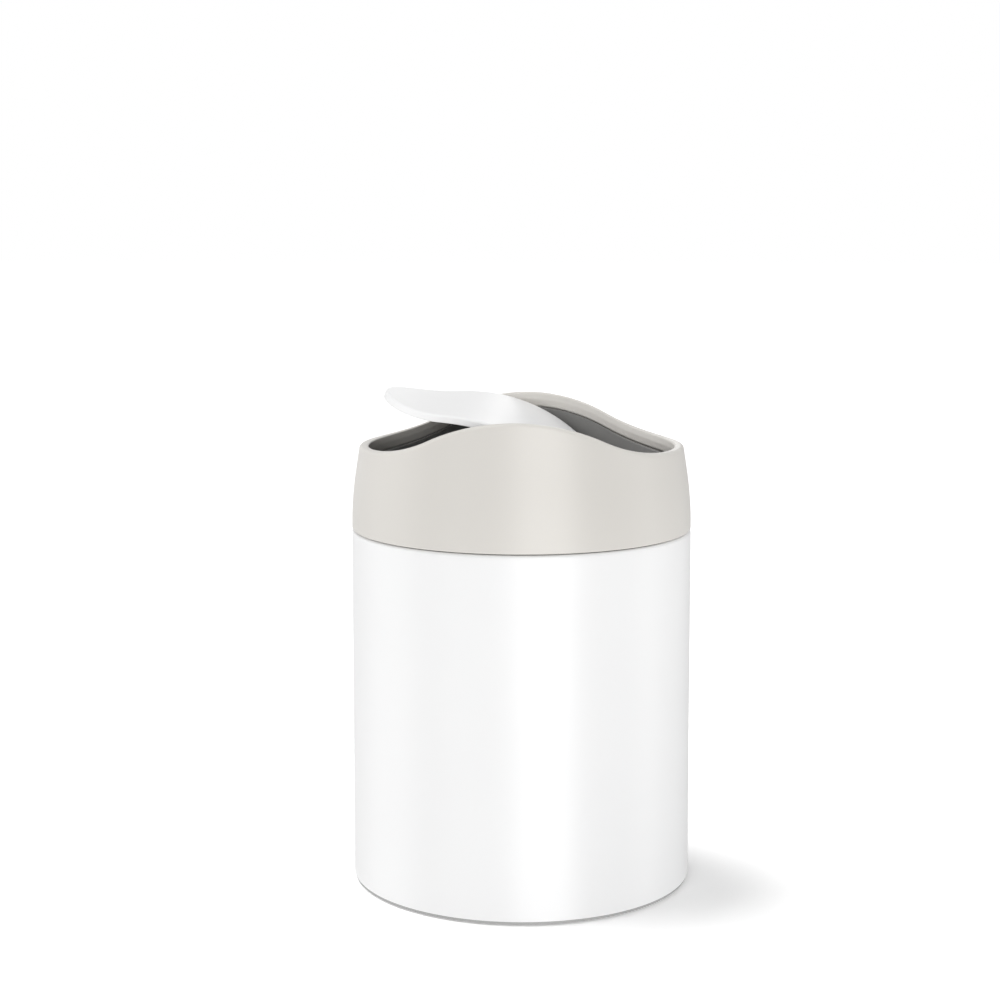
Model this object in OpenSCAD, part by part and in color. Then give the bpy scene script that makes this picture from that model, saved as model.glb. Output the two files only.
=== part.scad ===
// Countertop trash can with a wavy collar and a swing lid.
// Z is up, the origin is the centre of the foot, and the lid swings about an axis along Y.

/* [Can] */
// Outside diameter of the steel tube
can_d = 121; // [110:0.5:150]
// Height of the tube's rolled edge above the table
can_h = 126.2; // [100:0.1:180]
// Thickness of the steel sheet
sheet_t = 0.6; // [0.4:0.1:0.8]
// Diameter of the rolled top edge
curl_d = 2.4; // [2.2:0.1:3]
// Width of the lapped seam inside the tube
lap_w = 8; // [4:0.5:14]

/* [Base] */
// Height of the grey line that shows under the tube
base_line_h = 1; // [0.8:0.1:2]
// How far that line sits in from the tube
base_line_in = 0.3; // [0:0.1:0.6]
// Width of the ring that lies under the tube
base_ring_w = 12.2; // [11:0.1:16]
// Wall of the ring's upstand and inner rim
base_wall_t = 1.5; // [1:0.1:2]
// Height of the pan's floor over the tube's lower edge
pan_lift = 6.6; // [5:0.1:12]
// Width of the flat margin round the pan's pressed centre
pan_margin = 16; // [8:0.5:24]
// Rise of the pressed centre
pan_rise = 1.6; // [0.8:0.1:3]
// Number of stiffening webs in the base ring
base_webs = 16; // [8:4:24]
// Diameter of a rubber pad
pad_d = 8; // [6:0.1:8.4]
// Thickness of a rubber pad
pad_t = 1.3; // [1:0.1:1.6]
// How far a pad stands out of the ring
pad_proud = 0.4; // [0.2:0.1:0.6]
// Number of rubber pads
pad_count = 4; // [3:1:6]

/* [Collar] */
// Gap at the seam between the tube and the collar
seam_gap = 0.35; // [0.3:0.05:0.6]
// Height over the seam at which the collar is widest
collar_land = 1.5; // [0.5:0.1:4]
// Radius at which the collar bends inwards
collar_bend_r = 125; // [110:1:150]
// Slope of the collar above the bend, in degrees from upright
collar_draft = 8.5; // [7:0.1:9]
// Wall of the collar
collar_t = 1.8; // [1.4:0.1:2]
// Height of the rim's crest over the seam
collar_h = 42.9; // [40:0.1:50]
// Fall of the rim from its crest to its trough
rim_drop = 13.4; // [10:0.1:15]
// Part of the wave that belongs to the crest's arc
rim_share = 0.537; // [0.45:0.005:0.6]
// Width of the rim's lip
lip_w = 3.8; // [3.6:0.1:4.4]
// Depth of the turned-down inner lip
lip_depth = 5.2; // [5:0.1:7]

/* [Inner ring] */
// Depth that the ring plugs into the tube
plug_depth = 18; // [12:0.5:30]
// Wall of the ring
plug_t = 1.8; // [1.4:0.1:2.4]
// Clearance between the ring and the rolled edge
plug_play = 0.3; // [0.3:0.05:0.6]
// Thickness of the flange that rests on the rolled edge
flange_t = 2.5; // [2:0.1:3.5]
// Width of a pivot tower
tower_w = 8.8; // [8.8:0.1:12]
// Wall of the sleeve that stands behind the collar, between the towers
sleeve_t = 1.2; // [1:0.1:1.8]
// Gap between the sleeve's wavy top and the underside of the lip
sleeve_gap = 0.3; // [0.2:0.1:0.6]
// Angle of the screws from the swing direction
screw_angle = 30; // [24:1:36]
// Diameter of the collar's screw bosses
boss_d = 6.4; // [5.6:0.1:7]
// Length of a screw boss
boss_h = 12; // [9:0.5:13]
// Diameter of a collar screw
screw_d = 2.8; // [2.2:0.1:3]
// Diameter of a collar screw's head
screw_head_d = 5.4; // [4.6:0.1:5.8]
// Height of a collar screw's head
screw_head_h = 1.6; // [1.2:0.1:2]
// Length of a collar screw under its head
screw_l = 11; // [8:0.5:12]

/* [Pivot] */
// Depth of the lid's axis under the rim's crest
axis_depth = 9.8; // [9.8:0.1:11]
// Diameter of a pivot pin
pin_d = 3; // [2.4:0.1:3.2]
// Radial running clearance of the pin in its bush
pin_play = 0.05; // [0.02:0.01:0.09]
// Length of the pin inside the lid's hub
pin_grip = 8; // [5:0.5:10]
// Outside diameter of a bush
bush_d = 6; // [5:0.1:6.4]
// Diameter of a bush's flange
bush_flange_d = 8.2; // [7.4:0.1:8.6]
// Thickness of a bush's flange
bush_flange_t = 1.1; // [0.8:0.1:1.2]
// End play between the lid and a bush
end_play = 0.5; // [0.3:0.1:0.6]

/* [Lid] */
// Gap between the lid and the rim's lip at the crest
lid_gap = 1.4; // [1.4:0.05:1.8]
// Height of the lid's top over its axis
lid_rise = 5.9; // [5.7:0.1:6.3]
// Fall of the lid's wave from its middle to its ends
lid_drop = 10; // [8:0.1:12]
// Part of the lid's wave that belongs to the middle arc
lid_share = 0.53; // [0.44:0.01:0.56]
// Height of the lid's edge
edge_h = 2.8; // [2.6:0.1:3]
// Thickness of the white skin
skin_t = 0.8; // [0.6:0.1:0.9]
// Thickness of the tray under the skin
tray_t = 1.4; // [1.2:0.1:1.5]
// Width of the tray's edge
tray_edge_w = 1.4; // [1:0.1:2]
// Distance of the stiffening ribs from the middle
rib_y = 24; // [18:0.5:32]
// Thickness of a rib
rib_t = 1.2; // [1:0.1:1.8]
// Depth of a rib under the tray
rib_h = 2.4; // [1.5:0.1:3]
// Distance of a rib's ends from the tray's edge
rib_end = 12; // [2:0.5:20]
// Outside diameter of the hubs that hold the pins
hub_d = 6.4; // [6:0.1:6.8]
// Tilt of the lid as it stands, in degrees
lid_tilt = 23.5; // [0:0.5:40]
// Swing of the lid to either side, in degrees
swing_limit = 78; // [70:1:80]

/* [Balance bar] */
// Length of the bar
bar_l = 60; // [40:1:70]
// Width of the bar
bar_w = 10; // [8:0.1:14]
// Thickness of the bar
bar_t = 5.5; // [3:0.1:6]
// Depth of the bar's top under the lid's axis
bar_depth = 3; // [1:0.1:4]
// Distance between the bar's two screws
bar_pitch = 44; // [30:1:50]
// Diameter of a bar screw
bar_screw_d = 2.4; // [2:0.1:2.8]
// Diameter of the posts that carry the bar
post_d = 6; // [5:0.1:7]

/* [Hidden] */

// Gap between pieces that are pressed together
snug = 0.05;
// Gap between the sleeve and the collar around it
sleeve_play = 0.15;
// Gap between a screw and the hole it passes through
screw_play = 0.15;
// Gap between a screw's head and the wall beside it
head_room = 0.3;
// Angle past the end of the swing at which the lid meets its stops
stop_margin = 1.5;
// Reach of the stops under the lid's edge
stop_reach = 2.8;
// Height of a stop
stop_h = 7;
// Gap between a hub and the stop under it
stop_gap = 2.8;
// Length that cutting shapes run past what they cut
past = 1;
// Overlap that lets two arcs, or an arc and a line, cross where they would only touch
cross = 0.01;
$fn = 120;

can_r = can_d / 2;
base_z = pad_proud;
tube_z = base_z + base_line_h;
floor_z = tube_z + pan_lift;
curl_r = curl_d / 2;
curl_z = can_h - curl_r;
pan_r = can_r - sheet_t;

base_in_r = can_r - base_ring_w;
upstand_r = pan_r - sheet_t - snug;
base_rim_z = tube_z + 2 * base_wall_t;
pad_at = (base_in_r + upstand_r) / 2;
pad_roof_z = pad_t + base_line_h;

seam_z = can_h + seam_gap;
bend_z = seam_z + collar_land;
bend_end_z = bend_z + collar_bend_r * sin(collar_draft);
bend_end_r = can_r - collar_bend_r * (1 - cos(collar_draft));
crest_z = seam_z + collar_h;
trough_z = crest_z - rim_drop;
top_z = crest_z + past;
rim_span = collar_r(trough_z) - lip_w / 2;

plug_r = can_r - curl_d - plug_play;
plug_in_r = plug_r - plug_t;
plug_z = seam_z - plug_depth;
flange_z = seam_z + flange_t;
flange_r = can_r - collar_t - snug;
screw_at = plug_in_r - head_room - screw_head_d / 2;
screw_angles = [screw_angle, 180 - screw_angle, 180 + screw_angle, -screw_angle];

axis_z = crest_z - axis_depth;
lid_r = collar_r(crest_z) - lip_w - lid_gap;
tray_r = lid_r - skin_t - snug;
tray_depth = skin_t + snug;
tray_low = tray_depth + tray_t;
lid_wave_r = wave_radii(lid_r, lid_drop) * lid_share;
lid_room = lid_drop + lid_rise + rib_h + past;

tower_in = lid_r + end_play + bush_flange_t;
sleeve_out = collar_r(crest_z - lip_depth - sleeve_gap) - collar_t - sleeve_play;
sleeve_in = sleeve_out - sleeve_t;
sleeve_z = seam_z + flange_t / 2;
flange_in = tower_in - snug;
bush_in = lid_r + end_play;
pin_in = lid_r - pin_grip;
hub_in = pin_in - tray_t;
nose_r = lid_rise - edge_h - 2 * snug;
stop_top = hub_d / 2 + stop_gap;
stop_angle = swing_limit + stop_margin;
bar_low = -bar_depth - bar_t;

// Outside radius at a height, of the collar's cone and of the whole collar
function cone_r(z) = bend_end_r - cross - (z - bend_end_z) * tan(collar_draft);
function collar_r(z) =
    z < bend_end_z ? can_r - collar_bend_r + sqrt(collar_bend_r ^ 2 - (z - bend_z) ^ 2) : cone_r(z);

// Sum of the two arcs' radii in a wave of that half span and drop
function wave_radii(span, drop) = (span ^ 2 + drop ^ 2) / (2 * drop);

// Height over the axis of the lid's lower edge, this far from the axis
function lid_edge(from_axis) =
    lid_rise - edge_h - lid_wave_r + sqrt(lid_wave_r ^ 2 - from_axis ^ 2);

// Half width of a stop, this far under the axis
function stop_half(under) = (lid_edge(under) + under * cos(stop_angle)) / sin(stop_angle);

// Outline of all that lies under a wave: the crest arc at the origin, and a trough arc on either side
module under_wave(span, drop, share, depth, reach) {
    crest_arc = wave_radii(span, drop) * share;
    trough_arc = wave_radii(span, drop) - crest_arc;
    join = span * share;
    difference() {
        translate([-reach, -depth]) square([2 * reach, depth]);
        for (side = [-1, 1])
            translate([side * span, trough_arc - drop]) circle(r = trough_arc + cross);
        difference() {
            translate([-join, -drop]) square([2 * join, drop + past]);
            translate([0, -crest_arc]) circle(r = crest_arc);
        }
    }
}

// The same as a block along Y, between two depths under the wave, or from one down
module rim_block(down) {
    translate([0, 0, crest_z - down])
        rotate([90, 0, 0])
            linear_extrude(height = 2 * can_d, center = true)
                under_wave(rim_span, rim_drop, rim_share, collar_h + past, can_d);
}

module lid_block(down) {
    translate([0, 0, lid_rise - down])
        rotate([90, 0, 0])
            linear_extrude(height = 2 * can_d, center = true)
                under_wave(lid_r, lid_drop, lid_share, lid_room, can_r);
}

module lid_band(from, to, radius) {
    intersection() {
        difference() {
            lid_block(from);
            lid_block(to);
        }
        cylinder(r = radius, h = 2 * lid_room, center = true);
    }
}

// Half section of the collar, from the centre line to its face less an inset: a straight cone over a long arc
module collar_section(inset, low, high) {
    intersection() {
        polygon([[0, low], [cone_r(low) - inset, low], [cone_r(high) - inset, high], [0, high]]);
        union() {
            translate([can_r - inset - collar_bend_r, bend_z]) circle(r = collar_bend_r, $fn = 360);
            translate([-past, bend_end_z]) square([can_d, high]);
        }
    }
}

module at_screws() {
    for (angle = screw_angles)
        rotate(angle)
            translate([screw_at, 0])
                children();
}

module at_pads() {
    for (i = [0 : pad_count - 1])
        rotate(45 + i * 360 / pad_count)
            translate([pad_at, 0])
                children();
}

// A cylinder along Y, between two distances from the centre
module along_y(radius, from, to) {
    translate([0, from, 0])
        rotate([-90, 0, 0])
            cylinder(r = radius, h = to - from);
}

module at_axis() {
    translate([0, 0, axis_z]) children();
}

module tilted() {
    at_axis()
        rotate([0, lid_tilt, 0])
            children();
}

module body_shell() {
    lap_angle = lap_w / pan_r * 180 / PI;
    lap_z = floor_z + sheet_t + snug;
    color("white") {
        rotate_extrude() {
            translate([pan_r, tube_z]) square([sheet_t, curl_z - tube_z]);
            difference() {
                translate([can_r - curl_r, curl_z]) circle(r = curl_r);
                translate([can_r - curl_r, curl_z]) circle(r = curl_r - sheet_t);
                translate([can_r - curl_r, curl_z - curl_d]) square(curl_d);
            }
        }
        rotate(90 - lap_angle / 2)
            rotate_extrude(angle = lap_angle)
                translate([pan_r - sheet_t, lap_z])
                    square([1.5 * sheet_t, curl_z - curl_d - lap_z]);
    }
}

module bottom_pan() {
    raised_r = pan_r - pan_margin;
    color("gainsboro")
        rotate_extrude()
            polygon([
                [pan_r - sheet_t, tube_z + sheet_t], [pan_r, tube_z + sheet_t],
                [pan_r, floor_z + sheet_t], [raised_r, floor_z + sheet_t],
                [raised_r - pan_rise, floor_z + sheet_t + pan_rise], [0, floor_z + sheet_t + pan_rise],
                [0, floor_z + pan_rise], [raised_r - pan_rise - sheet_t / 2, floor_z + pan_rise],
                [raised_r - sheet_t / 2, floor_z], [pan_r - sheet_t, floor_z]
            ]);
}

module base_ring() {
    web_in = base_in_r + base_wall_t / 2;
    web_out = upstand_r - base_wall_t / 2;
    color("gray")
        difference() {
            union() {
                rotate_extrude()
                    polygon([
                        [base_in_r, base_z], [can_r - base_line_in, base_z], [can_r - base_line_in, tube_z],
                        [upstand_r, tube_z], [upstand_r, floor_z - snug],
                        [upstand_r - base_wall_t, floor_z - snug], [upstand_r - base_wall_t, tube_z],
                        [base_in_r + base_wall_t, tube_z], [base_in_r + base_wall_t, base_rim_z],
                        [base_in_r, base_rim_z]
                    ]);
                for (i = [0 : base_webs - 1])
                    rotate((i + 0.5) * 360 / base_webs)
                        translate([web_in, -base_wall_t / 2, base_z + snug])
                            cube([web_out - web_in, base_wall_t, base_rim_z - base_z - 2 * snug]);
                at_pads()
                    translate([0, 0, base_z])
                        cylinder(d = pad_d + 2 * base_line_h, h = pad_roof_z - base_z);
            }
            at_pads()
                translate([0, 0, base_z - past])
                    cylinder(d = pad_d, h = pad_t - base_z + past);
        }
}

module foot_pads() {
    color("dimgray")
        at_pads()
            cylinder(d = pad_d, h = pad_t);
}

module collar_shell() {
    color("lightgray")
        difference() {
            union() {
                difference() {
                    intersection() {
                        rotate_extrude()
                            difference() {
                                collar_section(0, seam_z, top_z);
                                collar_section(lip_w, seam_z - past, top_z + past);
                            }
                        rim_block(0);
                    }
                    intersection() {
                        rotate_extrude()
                            difference() {
                                collar_section(collar_t, seam_z - past, top_z);
                                collar_section(lip_w + past, seam_z - 2 * past, top_z + past);
                            }
                        rim_block(lip_depth);
                    }
                }
                intersection() {
                    translate([0, 0, flange_z])
                        at_screws() {
                            cylinder(d = boss_d, h = boss_h);
                            translate([0, -collar_t / 2, 0])
                                cube([can_r - screw_at, collar_t, boss_h]);
                        }
                    rotate_extrude() collar_section(collar_t / 2, seam_z, top_z);
                }
            }
            at_screws()
                translate([0, 0, flange_z - past])
                    cylinder(d = screw_d, h = screw_l - flange_t + 2 * past);
        }
}

// The two towers that hold the bushes, and the wall between them that follows the wave under the lip
module sleeve() {
    difference() {
        union() {
            intersection() {
                union() {
                    rotate_extrude()
                        translate([sleeve_in, sleeve_z]) square([sleeve_t, collar_h]);
                    for (side = [0, 1])
                        mirror([0, side, 0])
                            translate([-tower_w / 2, tower_in, sleeve_z])
                                cube([tower_w, sleeve_out - sleeve_t / 2 - tower_in, collar_h]);
                }
                rim_block(lip_depth + sleeve_gap);
            }
            for (side = [0, 1])
                mirror([0, side, 0])
                    at_axis() lid_stop();
        }
        at_screws()
            translate([0, 0, flange_z])
                cylinder(d = boss_d + 2 * sleeve_play, h = boss_h + sleeve_play);
        for (side = [0, 1])
            mirror([0, side, 0])
                at_axis() along_y(bush_d / 2, tower_in - past, can_r);
    }
}

// The block under the bush that the lid's edge meets at either end of its swing
module lid_stop() {
    low = stop_top + stop_h;
    stop_in = lid_r - stop_reach;
    back = (tower_in + sleeve_out) / 2;
    intersection() {
        rotate([90, 0, 180])
            linear_extrude(height = can_r)
                polygon([
                    [-stop_half(stop_top), -stop_top], [stop_half(stop_top), -stop_top],
                    [stop_half(low), -low], [-stop_half(low), -low]
                ]);
        rotate([90, 0, 90])
            linear_extrude(height = tower_w, center = true)
                polygon([
                    [stop_in, -stop_top], [back, -stop_top], [back, -low],
                    [stop_in + stop_reach, -low], [stop_in, stop_reach - low]
                ]);
    }
}

module inner_ring() {
    lead = plug_t / 2;
    color("dimgray")
        difference() {
            union() {
                rotate_extrude()
                    polygon([
                        [plug_in_r, plug_z], [plug_r - lead, plug_z], [plug_r, plug_z + 3 * lead],
                        [plug_r, seam_z], [flange_r, seam_z], [flange_r, flange_z], [flange_in, flange_z],
                        [flange_in, seam_z], [plug_in_r, seam_z]
                    ]);
                intersection() {
                    translate([0, 0, seam_z])
                        at_screws() {
                            cylinder(d = boss_d, h = flange_t);
                            translate([0, -boss_d / 2, 0]) cube([can_r - screw_at, boss_d, flange_t]);
                        }
                    cylinder(r = plug_r, h = top_z);
                }
                sleeve();
            }
            at_screws()
                translate([0, 0, seam_z - past])
                    cylinder(d = screw_d + 2 * screw_play, h = flange_t + 2 * past);
        }
}

module collar_screws() {
    color("silver")
        at_screws() {
            translate([0, 0, seam_z]) cylinder(d = screw_d, h = screw_l);
            translate([0, 0, seam_z - screw_head_h]) cylinder(d = screw_head_d, h = screw_head_h);
        }
}

module bush() {
    at_axis()
        difference() {
            union() {
                along_y(bush_flange_d / 2, bush_in, tower_in);
                along_y(bush_d / 2, bush_in, sleeve_out);
            }
            along_y(pin_d / 2 + pin_play, bush_in - past, can_r);
        }
}

module bush_front() {
    color("whitesmoke") mirror([0, 1, 0]) bush();
}

module bush_rear() {
    color("whitesmoke") bush();
}

module pin() {
    at_axis() along_y(pin_d / 2, pin_in, sleeve_out);
}

module pin_front() {
    color("silver") mirror([0, 1, 0]) pin();
}

module pin_rear() {
    color("silver") pin();
}

module lid_cover() {
    color("white")
        tilted()
            difference() {
                lid_band(0, edge_h, lid_r);
                intersection() {
                    lid_block(skin_t);
                    cylinder(r = lid_r - skin_t, h = 2 * lid_room, center = true);
                }
            }
}

module hub() {
    intersection() {
        union() {
            along_y(hub_d / 2, hub_in, tray_r);
            translate([-hub_d / 2, hub_in, 0])
                cube([hub_d, pin_grip + tray_t, lid_rise - tray_low + tray_t / 2]);
        }
        cylinder(r = tray_r, h = 2 * lid_room, center = true);
    }
    along_y(nose_r, hub_in, lid_r);
}

module lid_tray() {
    post_top = lid_rise - tray_low + tray_t / 2;
    color("dimgray")
        tilted()
            difference() {
                union() {
                    lid_band(tray_depth, tray_low, tray_r);
                    difference() {
                        lid_band(tray_depth, edge_h, tray_r);
                        cylinder(r = tray_r - tray_edge_w, h = 2 * lid_room, center = true);
                    }
                    for (y = [-rib_y, rib_y])
                        intersection() {
                            lid_band(tray_depth + tray_t / 2, tray_low + rib_h, tray_r - rib_end);
                            translate([-can_r, y - rib_t / 2, -can_r]) cube([can_d, rib_t, can_d]);
                        }
                    for (side = [0, 1])
                        mirror([0, side, 0])
                            hub();
                    for (y = [-bar_pitch / 2, bar_pitch / 2])
                        translate([0, y, -bar_depth])
                            cylinder(d = post_d, h = post_top + bar_depth);
                }
                for (side = [0, 1])
                    mirror([0, side, 0])
                        along_y(pin_d / 2, pin_in, lid_r + past);
                for (y = [-bar_pitch / 2, bar_pitch / 2])
                    translate([0, y, -bar_depth - past])
                        cylinder(d = bar_screw_d, h = bar_depth + 2 * past);
            }
}

module balance_bar() {
    bevel = bar_w / 4;
    x = bar_w / 2;
    y = bar_l / 2;
    color("silver")
        tilted()
            difference() {
                translate([0, 0, bar_low])
                    linear_extrude(height = bar_t)
                        polygon([
                            [x, bevel - y], [x, y - bevel], [x - bevel, y], [bevel - x, y],
                            [-x, y - bevel], [-x, bevel - y], [bevel - x, -y], [x - bevel, -y]
                        ]);
                for (hole = [-bar_pitch / 2, bar_pitch / 2])
                    translate([0, hole, bar_low - past])
                        cylinder(d = bar_screw_d + 2 * screw_play, h = bar_t + 2 * past);
            }
}

module bar_screws() {
    color("gainsboro")
        tilted()
            for (y = [-bar_pitch / 2, bar_pitch / 2])
                translate([0, y, bar_low]) {
                    translate([0, 0, -bar_screw_d / 2]) cylinder(d = 2 * bar_screw_d, h = bar_screw_d / 2);
                    cylinder(d = bar_screw_d, h = bar_t + bar_depth + past);
                }
}

body_shell();
bottom_pan();
base_ring();
foot_pads();
collar_shell();
inner_ring();
collar_screws();
bush_front();
bush_rear();
pin_front();
pin_rear();
lid_cover();
lid_tray();
balance_bar();
bar_screws();
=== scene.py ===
# Countertop trash can with a wavy collar and a swing lid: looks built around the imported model
import math
import bpy
import numpy as np
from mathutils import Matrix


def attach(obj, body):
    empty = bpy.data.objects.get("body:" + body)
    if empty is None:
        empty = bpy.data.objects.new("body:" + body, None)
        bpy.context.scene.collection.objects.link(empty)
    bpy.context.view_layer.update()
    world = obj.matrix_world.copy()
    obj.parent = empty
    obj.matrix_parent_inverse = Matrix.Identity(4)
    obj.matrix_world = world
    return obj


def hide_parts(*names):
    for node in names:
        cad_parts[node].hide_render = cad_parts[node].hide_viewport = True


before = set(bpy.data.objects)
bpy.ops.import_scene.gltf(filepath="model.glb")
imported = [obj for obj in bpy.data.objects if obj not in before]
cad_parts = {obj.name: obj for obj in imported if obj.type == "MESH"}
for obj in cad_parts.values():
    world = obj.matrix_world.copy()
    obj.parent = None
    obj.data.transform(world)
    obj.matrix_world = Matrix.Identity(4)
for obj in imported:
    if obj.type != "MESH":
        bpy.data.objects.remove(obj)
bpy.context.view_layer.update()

mm = 0.001


def addObject(name, data):
    thing = bpy.data.objects.new(name, data)
    bpy.context.scene.collection.objects.link(thing)
    return thing


# Camera at the photograph's angle: millimetres, degrees, and pixels of the frame for focal and rise
camera = dict(distance=744.2, height=247.9, swing=2.41, heading=3.0, down=5.84, focal=2097.5, frame=1000, rise=-100,
              sensor=36, clip=(0.01, 20))


def addCamera(c):
    data = bpy.data.cameras.new("photoCamera")
    data.sensor_width = c["sensor"]
    data.lens = c["focal"] / c["frame"] * c["sensor"]
    data.shift_y = c["rise"] / c["frame"]
    data.clip_start, data.clip_end = c["clip"]
    seat = addObject("photoCamera", data)
    swing = math.radians(c["swing"])
    seat.location = (c["distance"] * math.sin(swing) * mm, -c["distance"] * math.cos(swing) * mm, c["height"] * mm)
    seat.rotation_euler = (math.radians(90 - c["down"]), 0, math.radians(c["heading"]))
    bpy.context.scene.camera = seat


addCamera(camera)
bpy.context.scene.view_settings.view_transform = "Standard"
print("camera ready")


# Shader helpers
def makeGroup(name, inputs, outputs):
    # Inputs are name, kind and default; outputs are name and kind
    group = bpy.data.node_groups.new(name, "ShaderNodeTree")
    for label, kind, value in inputs:
        socket = group.interface.new_socket(name=label, in_out="INPUT", socket_type="NodeSocket" + kind)
        if value is not None:
            socket.default_value = value
    for label, kind in outputs:
        group.interface.new_socket(name=label, in_out="OUTPUT", socket_type="NodeSocket" + kind)
    return group, group.nodes.new("NodeGroupInput").outputs, group.nodes.new("NodeGroupOutput").inputs


def addNode(tree, kind, **settings):
    # A setting is the node's own, or a socket's name with _ for spaces, or i and a socket's place.
    # A socket given as a value is linked, a number is set.
    node = tree.nodes.new("ShaderNode" + kind)
    for key, value in settings.items():
        if hasattr(node, key):
            setattr(node, key, value)
            continue
        place = key[1:] if key[0] == "i" else ""
        socket = node.inputs[int(place) if place.isdigit() else key.replace("_", " ")]
        if isinstance(value, bpy.types.NodeSocket):
            tree.links.new(value, socket)
        else:
            socket.default_value = value
    return node


def addMath(tree, operation, a, b=0.5, c=0.5):
    return addNode(tree, "Math", operation=operation, i0=a, i1=b, i2=c).outputs[0]


def addMix(tree, factor, a, b):
    return addNode(tree, "Mix", i0=factor, i2=a, i3=b).outputs[0]


def addRange(tree, value, low, high, kind="SMOOTHSTEP"):
    return addNode(tree, "MapRange", interpolation_type=kind, Value=value, From_Min=low, From_Max=high).outputs[0]


def addNoise(tree, where, scale, detail, rough):
    return addNode(tree, "TexNoise", Vector=where, Scale=scale, Detail=detail, Roughness=rough).outputs[0]


def makeGrain():
    # Fine moulded or sprayed texture: coarse ripple plus fine grain, as a height, and the roughness that goes with it
    group, given, out = makeGroup(
        "surfaceGrain",
        [("Vector", "Vector", None), ("Ripple Scale", "Float", 400.0), ("Ripple", "Float", 0.5),
         ("Grain Scale", "Float", 3000.0), ("Grain", "Float", 0.5), ("Roughness", "Float", 0.4),
         ("Spread", "Float", 0.05)],
        [("Height", "Float"), ("Roughness", "Float")])
    ripple = addNoise(group, given["Vector"], given["Ripple Scale"], 2.0, 0.45)
    grain = addNoise(group, given["Vector"], given["Grain Scale"], 1.0, 0.5)
    rippleHeight = addMath(group, "MULTIPLY", ripple, given["Ripple"])
    group.links.new(addMath(group, "MULTIPLY_ADD", grain, given["Grain"], rippleHeight), out["Height"])
    centred = addMath(group, "SUBTRACT", ripple, 0.5)
    rough = addMath(group, "MULTIPLY_ADD", centred, given["Spread"], given["Roughness"])
    group.links.new(rough, out["Roughness"])
    return group


def makeTone():
    # Slow drift between two close tones, with faint speckle
    group, given, out = makeGroup(
        "toneDrift",
        [("Vector", "Vector", None), ("Tone A", "Color", (0.8, 0.8, 0.8, 1)), ("Tone B", "Color", (0.7, 0.7, 0.7, 1)),
         ("Scale", "Float", 25.0), ("Speckle Scale", "Float", 2500.0), ("Speckle", "Float", 0.1)],
        [("Color", "Color")])
    slow = addNoise(group, given["Vector"], given["Scale"], 3.0, 0.55)
    fine = addNoise(group, given["Vector"], given["Speckle Scale"], 0.0, 0.5)
    mixed = addMath(group, "MULTIPLY_ADD", addMath(group, "SUBTRACT", fine, 0.5), given["Speckle"], slow)
    factor = addRange(group, mixed, 0.3, 0.7, "LINEAR")  # noise keeps mostly to this span
    tone = addNode(group, "Mix", data_type="RGBA", i0=factor, i6=given["Tone A"], i7=given["Tone B"])
    group.links.new(tone.outputs[2], out["Color"])
    return group


grainGroup, toneGroup = makeGrain(), makeTone()

# Finishes: tones a to b and the scale of their drift, speckle, roughness and its spread, ripple and grain by scale and
# height, and the depth of the whole relief in millimetres. Plain holds what a finish leaves out.
plain = dict(drift=25.0, speckle=0.1, spread=0.08, metal=0.0, ior=1.45)
paint = dict(ripple=1.0, grainScale=2600.0, drift=14.0, spread=0.03, ior=1.5)
moulded = dict(rippleScale=900.0, ripple=0.5, grain=1.0, ior=1.46)
finishes = {
    "whitePaint": dict(paint, a=(0.95, 0.95, 0.95), b=(0.93, 0.931, 0.933), rough=0.29, rippleScale=420.0,
                       grain=0.15, depth=0.006),
    # The tube's white paint, a little darker on the lid: painted shade on the lid's upper face
    "lidPaintShaded": dict(paint, a=(0.915, 0.915, 0.915), b=(0.90, 0.90, 0.90), rough=0.3, rippleScale=300.0,
                     grain=0.03, depth=0.003),
    "warmPlastic": dict(moulded, a=(0.725, 0.702, 0.662), b=(0.705, 0.682, 0.642), rough=0.31, spread=0.04,
                        grainScale=4200.0, depth=0.012, speckle=0.35, drift=12.0),
    # Dark grey plastic of the lid's tray and the inner ring; on the ring's sleeve inside the collar its dark tone is
    # painted shade under the lip
    "darkPlasticAndShade": dict(moulded, a=(0.225, 0.222, 0.216), b=(0.205, 0.202, 0.196), rough=0.44, grainScale=3600.0,
                        depth=0.015, speckle=0.35),
    "basePlastic": dict(moulded, a=(0.42, 0.42, 0.415), b=(0.39, 0.39, 0.385), rough=0.5, grainScale=3600.0,
                        depth=0.015, speckle=0.3),
    "bushPlastic": dict(moulded, a=(0.80, 0.78, 0.72), b=(0.77, 0.75, 0.69), rough=0.38, grainScale=4200.0,
                        grain=0.7, depth=0.008, speckle=0.2, ior=1.45),
    "padRubber": dict(a=(0.07, 0.07, 0.07), b=(0.055, 0.055, 0.055), rough=0.75, rippleScale=1500.0, ripple=0.6,
                      grainScale=5000.0, grain=1.0, depth=0.03, speckle=0.4),
    "brightSteel": dict(a=(0.62, 0.63, 0.65), b=(0.55, 0.56, 0.59), rough=0.27, spread=0.2, rippleScale=700.0,
                        ripple=0.6, grainScale=5200.0, grain=0.8, depth=0.006, speckle=0.5, metal=1.0),
    "barSteel": dict(a=(0.50, 0.50, 0.51), b=(0.43, 0.43, 0.45), rough=0.36, spread=0.25, rippleScale=500.0, ripple=0.4,
                     grainScale=2400.0, grain=1.0, depth=0.012, speckle=0.6, metal=1.0, stretch=(1.0, 0.06, 1.0)),
}


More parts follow.
